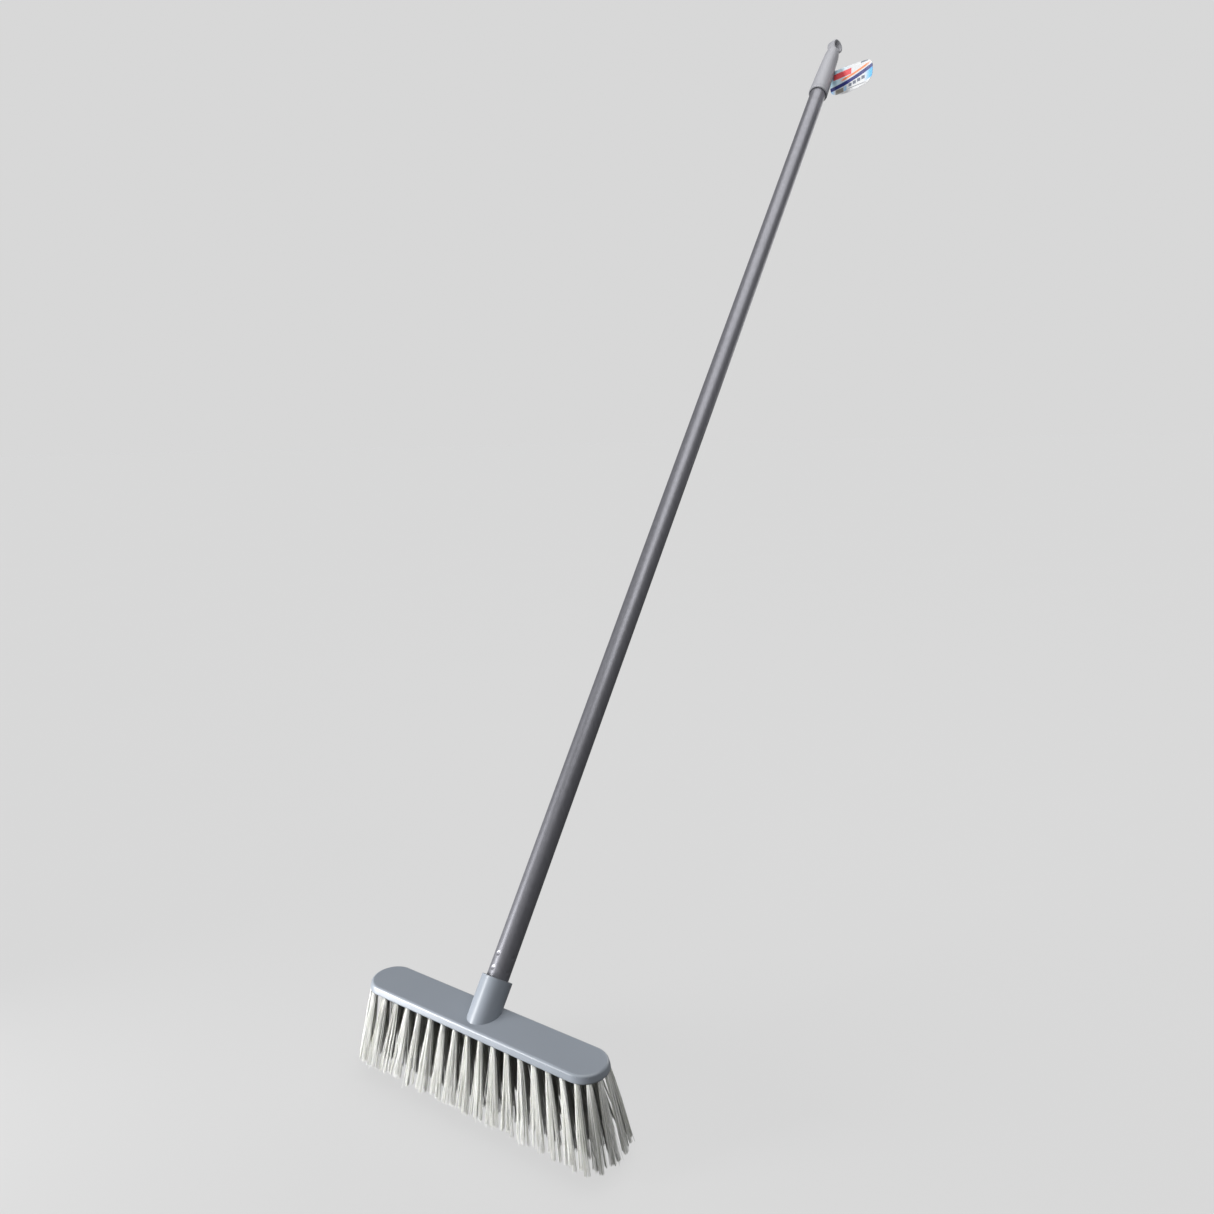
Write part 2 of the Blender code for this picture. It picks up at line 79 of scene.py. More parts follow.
# ---- sizes that the solids show only in part ----
BLOCK_DRAFT = 0.0021
BLOCK_EDGE = 0.0021
SOCKET_HEIGHT = 0.0327
SOCKET_RADIUS = 0.0154
SOCKET_TAPER = 0.0003
SOCKET_SINK = 0.003
SOCKET_LIP = 0.0009
MOUTH_DEPTH = 0.008
BORE_DEPTH = 0.0265
CLEARANCE = 0.00035                 # round the tube, in the socket and in the cap
THREAD_PITCH = math.tau * BEHAVIOUR["couplings"][0]["ratio"]
THREAD_TURNS = 4
THREAD_RADIUS = 0.0095
THREAD_DEPTH = 0.0013
THREAD_CREST = 0.0010
THREAD_ROOT = 0.0024
THREAD_PLAY = 0.0004                # round the insert's thread in its groove
GROOVE_LEAD = 0.2                   # turns
GROOVE_RUNOUT = 0.6
THREAD_START = SOCKET_HEIGHT - BORE_DEPTH + THREAD_ROOT / 2 + 0.0006
COATING_WALL = 0.00045
CRIMP_HEIGHTS = (0.0142, 0.0277)
CRIMPS_PER_RING = 4
CRIMP_TURN = math.radians(-100)
CRIMP_DEPTH = 0.0006
CRIMP_RADIUS = 0.0027
CAP_PROFILE = ((0.101, 0.01345), (0.060, 0.0122), (0.021, 0.0104), (0.010, 0.0088))
CAP_TURN = math.radians(-20)
CAP_LINE = 0.0045                   # a shallow line runs round the cap this far above its rim
CAP_LINE_WIDTH = 0.0018
CAP_LINE_DEPTH = 0.0004
CAP_LINE_OUTSIDE = 0.0125           # it is on the cap's outside, which is wider than this there
EYE_RADIUS = 0.0098
EYE_THICKNESS = 0.013
EYE_EDGE = 0.0015
EYE_HOLE = 0.0045
EYE_FLARE = 0.0038
TAG_LENGTH = 0.078
TAG_TURN = math.radians(-25)
TAG_THICKNESS = 0.0005
TAG_CORNER = 0.009
TAG_HIDDEN_CORNER = 0.001           # the upper one that meets the cap
TAG_SAG = 0.006                     # of its lower edge
TAG_CURL = 0.004
TAG_SLOPE = 0.004                   # its top drops this much towards its far end

# ---- bristles ----
SEED = 11
OUTER_FILAMENTS = 84
INNER_FILAMENTS = 56
FILAMENT_RADIUS = 0.00021
ROOT_RADIUS = 0.0019                # of the bundle where it leaves its hole
STRAY_SHARE = 0.035
END_WIDENING = 1.2                  # tufts round the ends spread wider than their solids
END_TIP = 0.007                     # a tip narrower than this belongs to an end tuft
INNER_TIP_WIDTH = 0.0092            # half the width of an inner tuft's tip
STEEPER = 0.006                     # the tips at the -X end stand this much further in


# ---- mesh helpers ----
def add_piece(name, mesh, material, body, replaced, place=None):
    """A shown piece that stands for CAD nodes and rides on their body."""
    if place is not None:
        mesh.transform(place)
    piece = bpy.data.objects.new(name, mesh)
    bpy.context.scene.collection.objects.link(piece)
    mesh.materials.clear()
    mesh.materials.append(material)
    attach(piece, body)
    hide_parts(*replaced)
    return piece


def working_object(name, mesh):
    obj = bpy.data.objects.new(name, mesh)
    bpy.context.scene.collection.objects.link(obj)
    return obj


def mesh_from(bm, name):
    bmesh.ops.recalc_face_normals(bm, faces=bm.faces)
    mesh = bpy.data.meshes.new(name)
    bm.to_mesh(mesh)
    bm.free()
    return mesh


def finished(obj):
    """The object's mesh with its modifiers applied. The object is removed."""
    bpy.context.view_layer.update()
    graph = bpy.context.evaluated_depsgraph_get()
    mesh = bpy.data.meshes.new_from_object(obj.evaluated_get(graph))
    bpy.data.objects.remove(obj)
    return mesh


def combine(obj, mesh, operation):
    """Boolean of an object with a mesh, applied at once."""
    other = working_object("other", mesh)
    modifier = obj.modifiers.new("combine", "BOOLEAN")
    modifier.object = other
    modifier.operation = operation
    modifier.solver = "EXACT"
    bpy.context.view_layer.update()
    graph = bpy.context.evaluated_depsgraph_get()
    result = bpy.data.meshes.new_from_object(obj.evaluated_get(graph))
    obj.modifiers.clear()
    obj.data = result
    bpy.data.objects.remove(other)


def bevelled(mesh, width, segments, angle=40):
    obj = working_object("bevelled", mesh)
    bevel = obj.modifiers.new("bevel", "BEVEL")
    bevel.width = width
    bevel.segments = segments
    bevel.limit_method = "ANGLE"
    bevel.angle_limit = math.radians(angle)
    return finished(obj)


def smooth_shading(mesh, angle=32):
    """Smooth faces, with large flat faces kept flat by weighted normals."""
    mesh.shade_smooth()
    mesh.set_sharp_from_angle(angle=math.radians(angle))
    obj = working_object("weighted", mesh)
    weighted = obj.modifiers.new("weighted", "WEIGHTED_NORMAL")
    weighted.keep_sharp = True
    weighted.weight = 100
    return finished(obj)


def turned(name, points, steps=96):
    """A closed turned solid from (radius, height) points, both ends of which lie on the axis."""
    rings = []
    bm = bmesh.new()
    for radius, height in points:
        if radius < 1e-7:
            rings.append([bm.verts.new((0, 0, height))])
        else:
            rings.append([bm.verts.new((radius * math.cos(math.tau * i / steps),
                                        radius * math.sin(math.tau * i / steps), height))
                          for i in range(steps)])
    for one, two in zip(rings, rings[1:]):
        for i in range(steps):
            j = (i + 1) % steps
            corners = [one[i % len(one)], one[j % len(one)], two[j % len(two)], two[i % len(two)]]
            bm.faces.new(list(dict.fromkeys(corners)))
    return mesh_from(bm, name)


def thread_ridge(base, crest, base_width, crest_width, turns, lead=0.0, steps=48):
    """A trapezoid swept up a right-hand helix round Z."""
    start = Matrix.Rotation(-math.tau * lead, 3, "Z")
    bottom = THREAD_START - lead * THREAD_PITCH
    corners = [(base, -base_width / 2), (crest, -crest_width / 2), (crest, crest_width / 2),
               (base, base_width / 2)]
    bm = bmesh.new()
    face = bm.faces.new([bm.verts.new(start @ Vector((radius, 0, bottom + height)))
                         for radius, height in corners])
    bmesh.ops.spin(bm, geom=[face, *face.edges, *face.verts], cent=(0, 0, 0), axis=(0, 0, 1),
                   dvec=(0, 0, THREAD_PITCH / steps), angle=math.tau * (turns + lead),
                   steps=round((turns + lead) * steps), use_duplicate=False)
    return mesh_from(bm, "ridge")


def points_of(node):
    """A node's vertices, each place once."""
    return [Vector(p) for p in sorted({tuple(round(c, 6) for c in v.co)
                                       for v in NODES[node].data.vertices})]


def on_handle(node):
    """Lowest and highest reach of a node up the handle's axis, and its largest radius round it."""
    back = HANDLE.inverted()
    local = [back @ point for point in points_of(node)]
    heights = [point.z for point in local]
    return min(heights), max(heights), max(math.hypot(point.x, point.y) for point in local)


def middle(points):
    return sum(points, Vector()) / len(points)


# ---- materials ----
class Nodes:
    """Short names for building a material's nodes."""

    def __init__(self, name):
        self.material = bpy.data.materials.new(name)
        self.material.use_nodes = True
        self.tree = self.material.node_tree
        self.shader = self.tree.nodes["Principled BSDF"]

    def new(self, kind, settings=(), **inputs):
        node = self.tree.nodes.new(kind)
        for key, value in dict(settings).items():
            setattr(node, key, value)
        for key, value in inputs.items():
            self.put(node.inputs[key.replace("_", " ")], value)
        return node

    def put(self, socket, value):
        if isinstance(value, bpy.types.NodeSocket):
            self.tree.links.new(value, socket)
        else:
            socket.default_value = value

    def place(self):
        return self.new("ShaderNodeTexCoord").outputs["Object"]

    def noise(self, scale, detail=3.0, vector=None, roughness=0.5):
        node = self.new("ShaderNodeTexNoise", Vector=vector or self.place(), Scale=scale,
                        Detail=detail, Roughness=roughness)
        return node.outputs["Fac"]

    def stretched(self, scale):
        """Object coordinates along the handle's axis, scaled by an amount on each of its own axes."""
        mapping = self.new("ShaderNodeMapping", {"vector_type": "POINT"}, Vector=self.place())
        mapping.inputs["Rotation"].default_value = (TILT, 0, 0)
        mapping.inputs["Scale"].default_value = scale
        return mapping.outputs["Vector"]

    def ramp(self, value, stops):
        node = self.new("ShaderNodeValToRGB", Fac=value)
        elements = node.color_ramp.elements
        while len(elements) < len(stops):
            elements.new(0.5)
        for element, (position, colour) in zip(elements, stops):
            element.position = position
            element.color = (*colour, 1) if len(colour) == 3 else colour
        return node.outputs["Color"]

    def span(self, value, low, high, to_low, to_high):
        node = self.new("ShaderNodeMapRange", Value=value)
        for key, number in (("From Min", low), ("From Max", high), ("To Min", to_low),
                            ("To Max", to_high)):
            node.inputs[key].default_value = number
        return node.outputs["Result"]

    def math(self, operation, one, two=0.0):
        node = self.new("ShaderNodeMath", {"operation": operation})
        self.put(node.inputs[0], one)
        self.put(node.inputs[1], two)
        return node.outputs[0]

    def mix(self, factor, one, two, blend="MIX"):
        node = self.new("ShaderNodeMix", {"data_type": "RGBA", "blend_type": blend})
        self.put(node.inputs["Factor"], factor)
        self.put(node.inputs[6], one if isinstance(one, bpy.types.NodeSocket) else (*one, 1))
        self.put(node.inputs[7], two if isinstance(two, bpy.types.NodeSocket) else (*two, 1))
        return node.outputs[2]

    def bump(self, height, distance, strength=1.0):
        node = self.new("ShaderNodeBump", Height=height, Distance=distance, Strength=strength)
        self.tree.links.new(node.outputs["Normal"], self.shader.inputs["Normal"])

    def surface(self, **values):
        for key, value in values.items():
            self.put(self.shader.inputs[key.replace("_", " ")], value)
        return self.material


def shade(colour, factor):
    return tuple(channel * factor for channel in colour)


def moulded_plastic(name, colour, roughness):
    """Satin moulded plastic: cloudy tone, fine grain, faint handling marks and paler edges."""
    nodes = Nodes(name)
    cloud = nodes.noise(9, 2)
    tone = nodes.ramp(cloud, [(0.3, shade(colour, 0.97)), (0.7, shade(colour, 1.03))])
    edges = nodes.ramp(nodes.new("ShaderNodeNewGeometry").outputs["Pointiness"],
                       [(0.53, (0, 0, 0)), (0.62, (1, 1, 1))])
    tone = nodes.mix(nodes.math("MULTIPLY", edges, 0.2), tone, shade(colour, 1.3))
    marks = nodes.noise(60, 2, roughness=0.7)
    rough = nodes.span(marks, 0.3, 0.7, roughness - 0.02, roughness + 0.03)
    fine = nodes.noise(2600, 2)
    wave = nodes.noise(60, 1)
    nodes.bump(nodes.math("ADD", nodes.math("MULTIPLY", fine, 0.6), wave), 0.00001)
    return nodes.surface(Base_Color=tone, Roughness=rough)


def coated_metal(name):
    """Grey film shrunk on a drawn tube: faint draw lines along it and a slightly wavy gloss."""
    nodes = Nodes(name)
    along = nodes.stretched((260, 260, 3))
    lines = nodes.noise(1.0, 3, along)
    cloud = nodes.noise(14, 3)
    colour = (0.19, 0.19, 0.21)
    tone = nodes.ramp(lines, [(0.3, shade(colour, 0.92)), (0.7, shade(colour, 1.08))])
    tone = nodes.mix(nodes.span(cloud, 0.3, 0.7, 0.0, 0.25), tone, shade(colour, 1.2))
    marks = nodes.noise(420, 2)
    rough = nodes.span(marks, 0.3, 0.75, 0.37, 0.43)
    nodes.bump(lines, 0.000003)
    return nodes.surface(Base_Color=tone, Metallic=0.5, Roughness=rough, Coat_Weight=0.05,
                         Coat_Roughness=0.2)


def bare_steel(name):
    """Rolled steel with draw lines and a little staining."""
    nodes = Nodes(name)
    lines = nodes.noise(1.0, 4, nodes.stretched((900, 900, 6)))
    stain = nodes.noise(40, 4)
    tone = nodes.ramp(lines, [(0.3, (0.42, 0.43, 0.44)), (0.7, (0.6, 0.61, 0.62))])
    tone = nodes.mix(nodes.span(stain, 0.5, 0.8, 0.0, 0.5), tone, (0.36, 0.33, 0.3))
    nodes.bump(lines, 0.00002)
    return nodes.surface(Base_Color=tone, Metallic=1.0, Roughness=nodes.span(stain, 0.2, 0.8, 0.25, 0.5))


def bristle_fibre(name, painted_shade_factor=1.0):
    """Extruded fibre: each filament has its own tone, times a factor that darkens the whole fibre; below 1 that
    darkening is painted shade.
    """
    nodes = Nodes(name)
    own = nodes.new("ShaderNodeNewGeometry").outputs["Random Per Island"]
    stops = [(0.0, (0.42, 0.42, 0.38)), (0.3, (0.76, 0.765, 0.72)), (0.7, (0.9, 0.9, 0.88)),
             (1.0, (0.95, 0.95, 0.93))]
    tone = nodes.ramp(own, [(at, shade(colour, painted_shade_factor)) for at, colour in stops])
    streak = nodes.noise(1.0, 2, nodes.stretched((1500, 1500, 60)))
    tone = nodes.mix(nodes.span(streak, 0.35, 0.7, 0.0, 0.2), tone, (0.36, 0.37, 0.31))
    rough = nodes.span(streak, 0.3, 0.7, 0.38, 0.55)
    nodes.bump(streak, 0.00002)
    return nodes.surface(Base_Color=tone, Roughness=rough, Specular_IOR_Level=0.45,
                         Subsurface_Weight=0.15, Subsurface_Radius=(0.001, 0.001, 0.0008),
                         Subsurface_Scale=1.0)


def printed_card(name):
    """Abstract print: colour wash, a bar, two swooshes and plain blocks on white card."""
    nodes = Nodes(name)
    uv = nodes.new("ShaderNodeSeparateXYZ", Vector=nodes.new("ShaderNodeTexCoord").outputs["UV"])
    u, v = uv.outputs["X"], uv.outputs["Y"]

    def step(value, edge, soft=0.008):
        return nodes.span(value, edge - soft, edge + soft, 0.0, 1.0)

    def between(value, low, high, soft=0.008):
        return nodes.math("MULTIPLY", step(value, low, soft),
                          nodes.math("SUBTRACT", 1.0, step(value, high, soft)))

    def box(left, right, low, high):
        return nodes.math("MULTIPLY", between(u, left, right), between(v, low, high))

    def above_curve(lift, bend, centre):
        """Height above the curve v = lift + bend * (u - centre) ** 2."""
        across = nodes.math("SUBTRACT", u, centre)
        curve = nodes.math("MULTIPLY", nodes.math("MULTIPLY", across, across), bend)
        return nodes.math("SUBTRACT", v, nodes.math("ADD", curve, lift))

    paint = (0.68, 0.69, 0.70)
    wash = nodes.span(u, 0.0, 0.55, 0.85, 0.0)
    tone = nodes.mix(nodes.math("MULTIPLY", wash, step(v, 0.4, 0.1)), paint, (0.42, 0.74, 0.92))
    band = above_curve(0.33, 0.34, 0.0)
    low_blue = nodes.math("MULTIPLY", between(band, -0.4, -0.04),
                          nodes.math("ADD", nodes.span(u, 0.0, 0.14, 1.0, 0.0),
                                     nodes.span(u, 0.82, 0.95, 0.0, 1.0)))
    tone = nodes.mix(low_blue, tone, (0.05, 0.42, 0.86))
    tone = nodes.mix(between(band, -0.075, 0.075), tone, (0.004, 0.012, 0.16))
    swoosh = above_curve(0.5, 0.33, 0.0)
    fade = nodes.math("MULTIPLY", between(u, 0.3, 0.92, 0.05), between(swoosh, -0.04, 0.045))
    tone = nodes.mix(fade, tone, (0.83, 0.24, 0.08))
    tone = nodes.mix(box(0.08, 0.52, 0.64, 0.86), tone, (0.72, 0.07, 0.08))
    tone = nodes.mix(box(0.74, 0.9, 0.88, 0.93), tone, (0.09, 0.11, 0.16))
    tone = nodes.mix(box(0.14, 0.34, 0.08, 0.25), tone, (0.24, 0.23, 0.2))
    tone = nodes.mix(box(0.345, 0.41, 0.1, 0.27), tone, (0.34, 0.56, 0.78))
    for index in range(4):
        left = 0.46 + 0.1 * index
        tone = nodes.mix(box(left, left + 0.075, 0.19 + 0.03 * index, 0.31 + 0.03 * index), tone,
                         (0.13, 0.15, 0.2))
    tone = nodes.mix(box(0.46, 0.86, 0.125, 0.145), tone, (0.07, 0.08, 0.1))
    fibre = nodes.noise(700, 3)
    tone = nodes.mix(nodes.span(fibre, 0.3, 0.7, 0.0, 0.06), tone, (0.6, 0.6, 0.6))
    nodes.bump(fibre, 0.00002)
    return nodes.surface(Base_Color=tone, Roughness=nodes.span(fibre, 0.3, 0.7, 0.25, 0.4),
                         Coat_Weight=0.4, Coat_Roughness=0.15)


# ---- brush block ----
def block_outline():
    """Half length, width, centre and thickness of the block without its socket."""
    low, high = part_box("brush_block")
    lower = [p for p in points_of("brush_block") if p.z < (low.z + FOOT.z) / 2]
    front, rear = min(p.y for p in lower), max(p.y for p in lower)
    return high.x, rear - front, (front + rear) / 2, FOOT.z - low.z


def plate_mesh():
    half, width, centre, thickness = block_outline()
    bm = bmesh.new()
    for side in (-1, 1):
        place = Matrix.Translation((side * (half - width / 2), centre, FOOT.z - thickness / 2))
        bmesh.ops.create_cone(bm, cap_ends=True, segments=128, radius1=width / 2,
                              radius2=width / 2 - BLOCK_DRAFT, depth=thickness, matrix=place)
    hull = bmesh.ops.convex_hull(bm, input=bm.verts)
    bmesh.ops.delete(bm, geom=hull["geom_interior"] + hull["geom_unused"], context="VERTS")
    bmesh.ops.dissolve_limit(bm, angle_limit=0.001, verts=bm.verts, edges=bm.edges)
    return bevelled(mesh_from(bm, "plate"), BLOCK_EDGE, 6)


def socket_post():
    bm = bmesh.new()
    bmesh.ops.create_cone(bm, cap_ends=True, segments=128, radius1=SOCKET_RADIUS - SOCKET_TAPER,
                          radius2=SOCKET_RADIUS, depth=SOCKET_HEIGHT,
                          matrix=Matrix.Translation((0, 0, SOCKET_HEIGHT / 2)))
    upright = Vector((0, -math.sin(TILT), math.cos(TILT)))
    for vert in bm.verts:
        if vert.co.z < SOCKET_HEIGHT / 2:
            vert.co.z -= (vert.co.dot(upright) + SOCKET_SINK) / upright.z
    mesh = bevelled(mesh_from(bm, "post"), SOCKET_LIP, 4, 60)
    mesh.transform(HANDLE)
    return mesh


def socket_bore():
    tube = on_handle("tube_coating")[2]
    minor = THREAD_RADIUS - THREAD_DEPTH + THREAD_PLAY
    floor = SOCKET_HEIGHT - MOUTH_DEPTH
    end = SOCKET_HEIGHT - BORE_DEPTH
    mesh = turned("bore", [(0, SOCKET_HEIGHT + 0.002), (tube + CLEARANCE, SOCKET_HEIGHT + 0.002),
                           (tube + CLEARANCE, floor), (minor, floor), (minor, end), (0, end)])
    mesh.transform(HANDLE)
    return mesh


def socket_groove():
    minor = THREAD_RADIUS - THREAD_DEPTH + THREAD_PLAY
    crest = THREAD_CREST + 0.0005
    base = crest + (THREAD_ROOT - THREAD_CREST) / THREAD_DEPTH * (THREAD_DEPTH + 0.0002)
    mesh = thread_ridge(minor - 0.0002, THREAD_RADIUS + THREAD_PLAY, base, crest,
                        THREAD_TURNS + GROOVE_RUNOUT, GROOVE_LEAD)
    mesh.transform(HANDLE)
    return mesh


def hole_cutters(roots):
    bm = bmesh.new()
    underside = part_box("brush_block")[0].z
    for root in roots:
        place = Matrix.Translation((root.x, root.y, underside + 0.0025))
        bmesh.ops.create_cone(bm, cap_ends=True, segments=20, radius1=0.0026, radius2=0.0026,
                              depth=0.007, matrix=place)
    return mesh_from(bm, "holes")


def make_block(roots, material):
    obj = working_object("block", plate_mesh())
    combine(obj, socket_post(), "UNION")
    combine(obj, socket_bore(), "DIFFERENCE")
    combine(obj, socket_groove(), "DIFFERENCE")
    combine(obj, hole_cutters(roots), "DIFFERENCE")
    mesh = smooth_shading(finished(obj))
    add_piece("moulded_block", mesh, material, "head", ["brush_block"])


# ---- bristles ----
def ring_at(points, height):
    return [p for p in points if abs(p.z - height) < 1e-4]


def outer_tuft(node):
    """Root centre, tip centre and the two half axes of an outer tuft's tip."""
    points = points_of(node)
    top, bottom = max(p.z for p in points), min(p.z for p in points)
    root, tip = middle(ring_at(points, top)), middle(ring_at(points, bottom))
    spread = sorted((p - tip for p in ring_at(points, bottom)), key=lambda v: v.length)
    return root, tip, spread[-1], spread[0]


def inner_tufts(node, fan):
    """The same for each tuft of an inner row."""
    points = points_of(node)
    top, bottom = max(p.z for p in points), min(p.z for p in points)
    groups = []
    for point in sorted(ring_at(points, top), key=lambda p: p.x):
        if groups and point.x - groups[-1][-1].x < 0.004:
            groups[-1].append(point)
        else:
            groups.append([point])
    ends = ring_at(points, bottom)
    low, high = min(p.y for p in ends), max(p.y for p in ends)
    tufts = []
    for group in groups:
        root = middle(group)
        tip = Vector((root.x * (1 + fan), (low + high) / 2, bottom))
        tufts.append((root, tip, Vector((INNER_TIP_WIDTH, 0, 0)), Vector((0, (high - low) / 2, 0))))
    return tufts


class Filaments:
    """Collects filaments as plain vertex and face lists."""

    def __init__(self):
        self.verts = []
        self.faces = []

    def add(self, start, end, bow, radius, sides, joints):
        first = len(self.verts)
        for joint in range(joints + 1):
            t = joint / joints
            centre = start.lerp(end, t) + bow * math.sin(math.pi * t)
            wide = radius * (1 - 0.35 * t ** 3)
            for side in range(sides):
                angle = math.tau * side / sides
                self.verts.append((centre.x + wide * math.cos(angle),
                                   centre.y + wide * math.sin(angle), centre.z))
        for joint in range(joints):
            for side in range(sides):
                one = first + joint * sides + side
                two = first + joint * sides + (side + 1) % sides
                self.faces.append((one, two, two + sides, one + sides))
        last = first + joints * sides
        self.faces.append([first + side for side in reversed(range(sides))])
        self.faces.append([last + side for side in range(sides)])

    def mesh(self, name):
        mesh = bpy.data.meshes.new(name)
        mesh.from_pydata(self.verts, [], self.faces)
        mesh.shade_smooth()
        mesh.set_sharp_from_angle(angle=math.radians(80))
        return mesh


def tip_locks(draw):
    """The locks that a tuft parts into: place across its tip, pull and lift of their ends."""
    count = draw.choice((3, 4, 4, 5))
    locks = []
    for index in range(count):
        x = -0.8 + 1.6 * index / (count - 1) + draw.uniform(-0.15, 0.15)
        y = draw.uniform(-0.7, 0.7)
        locks.append((x, y, draw.uniform(0.35, 0.75), draw.uniform(0.0, 0.004)))
    return locks


def grow_tuft(filaments, tuft, count, draw, sides, joints):
    """Fills a tuft: filaments leave a round hole and gather into locks towards the flat tip."""
    root, tip, wide, deep = tuft
    locks = tip_locks(draw)
    golden = math.pi * (3 - math.sqrt(5))
    along, across = wide.normalized(), deep.normalized()
    floor = CAD_BOX[0].z
    for index in range(count):
        r = math.sqrt((index + 0.5) / count)
        a = index * golden
        x, y = r * math.cos(a), r * math.sin(a)
        start = root + ROOT_RADIUS * (x * along + y * across)
        lock = min(locks, key=lambda k: (k[0] - x) ** 2 + 0.4 * (k[1] - y) ** 2)
        pull = lock[2] * draw.uniform(0.7, 1.1)
        tip_x = x + pull * (lock[0] - x) + draw.gauss(0, 0.05)
        tip_y = y + pull * (lock[1] - y) + draw.gauss(0, 0.06)
        if draw.random() < STRAY_SHARE:
            tip_x += draw.gauss(0, 0.5)
            tip_y += draw.gauss(0, 0.5)
        end = tip + tip_x * wide + tip_y * deep
        end.z = max(floor, end.z + lock[3] + draw.uniform(-0.0006, 0.0014))
        bow = draw.gauss(0, 0.0005) * along + draw.gauss(0.0003, 0.0005) * across
        radius = FILAMENT_RADIUS * draw.uniform(0.85, 1.15)
        filaments.add(start, end, bow, radius, sides, joints)


def make_bristles(material, inner_painted_shade_material):
    """Returns the root centres of all tufts."""
    draw = random.Random(SEED)
    roots = []
    outer = sorted(name for name in NODES if name.startswith("outer_tuft"))
    shapes = {name: outer_tuft(name) for name in outer}
    far_root, far_tip, *_ = max(shapes.values(), key=lambda shape: shape[0].x)
    fan = far_tip.x / far_root.x - 1
    for name in outer:
        root, tip, wide, deep = shapes[name]
        tip.x += STEEPER * max(0, -root.x / far_root.x) ** 3
        if wide.length < END_TIP:
            shapes[name] = (root, tip, wide * END_WIDENING, deep)
        filaments = Filaments()
        grow_tuft(filaments, shapes[name], OUTER_FILAMENTS, draw, 5, 4)
        piece = name.replace("outer_tuft", "bristles")
        add_piece(piece, filaments.mesh(piece), material, "head", [name])
        roots.append(shapes[name][0])
    for name in sorted(name for name in NODES if name.startswith("inner_row")):
        filaments = Filaments()
        for tuft in inner_tufts(name, fan):
            grow_tuft(filaments, tuft, INNER_FILAMENTS, draw, 5, 3)
            roots.append(tuft[0])
        piece = name.replace("inner_row", "bristles")
        add_piece(piece, filaments.mesh(piece), inner_painted_shade_material, "head", [name])
    return roots


# ---- tube ----
def crimp_dent(angle, height):
    """How deep the tube's wall is pressed in at a place."""
    deepest = 0.0
    for ring in CRIMP_HEIGHTS:
        for index in range(CRIMPS_PER_RING):
            turn = angle - CRIMP_TURN - math.tau * index / CRIMPS_PER_RING
            turn = (turn + math.pi) % math.tau - math.pi
            away = math.hypot(turn * 0.011, height - ring) / CRIMP_RADIUS
            if away < 1:
                deepest = max(deepest, CRIMP_DEPTH * (1 - away * away) ** 2)
    return deepest


def make_tube(material):
    bottom, top, radius = on_handle("tube_coating")
    fine = [0.0003 * i for i in range(1, 110)]
    coarse = [0.05 * i for i in range(1, 26)]
    heights = [0.0, 0.0001] + fine + [h for h in coarse if h > fine[-1] and h < top - bottom]
    heights += [top - bottom]
    steps = 144
    bm = bmesh.new()
    rings = []
    for height in heights:
        ring = []
        for i in range(steps):
            angle = math.tau * i / steps
            r = radius - crimp_dent(angle, height) if height < 0.04 else radius
            ring.append(bm.verts.new((r * math.cos(angle), r * math.sin(angle), bottom + height)))
        rings.append(ring)
    for height in (top - bottom, 0.034, 0.0):
        rings.append([bm.verts.new(((radius - COATING_WALL) * math.cos(math.tau * i / steps),
                                    (radius - COATING_WALL) * math.sin(math.tau * i / steps),
                                    bottom + height)) for i in range(steps)])
    rings.append(rings[0])
    for one, two in zip(rings, rings[1:]):
        for i in range(steps):
            j = (i + 1) % steps
            bm.faces.new((one[i], one[j], two[j], two[i]))
    mesh = mesh_from(bm, "coated_tube")
    mesh.shade_smooth()
    mesh.set_sharp_from_angle(angle=math.radians(40))
    add_piece("coated_tube", mesh, material, "handle", ["tube_coating"], HANDLE)


# ---- threaded insert ----
def make_insert(material):
    low, high, _ = on_handle("threaded_insert")
    tube_low, _, tube = on_handle("tube_coating")
    shank = tube - COATING_WALL - 0.0003 - 0.0005 - CLEARANCE
    core = THREAD_RADIUS - THREAD_DEPTH
    shoulder = tube_low - 0.0003
    points = [(0, high), (shank - 0.001, high), (shank, high - 0.001)]
    for ring in reversed(CRIMP_HEIGHTS):
        for offset, inset in ((0.0025, 0), (0.0017, 0.0008), (-0.0017, 0.0008), (-0.0025, 0)):
            points.append((shank - inset, tube_low + ring + offset))
    points += [(shank, shoulder), (tube - 0.0003, shoulder), (tube, shoulder - 0.0003),
               (tube, shoulder - 0.0009), (tube - 0.0003, shoulder - 0.0012), (core, shoulder - 0.0012),
               (core, low + 0.0004), (core - 0.0004, low), (0, low)]
    obj = working_object("insert", turned("insert", points))
    overlap = 0.0003
    base = THREAD_ROOT + overlap * (THREAD_ROOT - THREAD_CREST) / THREAD_DEPTH
    combine(obj, thread_ridge(core - overlap, THREAD_RADIUS, base, THREAD_CREST, THREAD_TURNS), "UNION")
    mesh = smooth_shading(finished(obj))
    add_piece("screw_insert", mesh, material, "handle", ["threaded_insert"], HANDLE)


# ---- hanger cap ----
def cap_shell():
    low = on_handle("hanger_cap")[0]
    tube_high, tube = on_handle("tube_coating")[1:]
    bore = tube + CLEARANCE
    top = EYE - CAP_PROFILE[-1][0]
    points = [(0, top + 0.0045), (0.004, top + 0.0042), (0.007, top + 0.0025)]
    points += [(radius, EYE - depth) for depth, radius in reversed(CAP_PROFILE[1:])]
    rim = CAP_PROFILE[0][1]
    points += [(rim, low + 0.001), (rim - 0.0007, low), (bore, low), (bore, tube_high + 0.0004),
               (0, tube_high + 0.0004)]
    return turned("cap", points)


def eye_place():
    return (Matrix.Translation((0, 0, EYE)) @ Matrix.Rotation(CAP_TURN, 4, "Z")
            @ Matrix.Rotation(math.pi / 2, 4, "Y"))


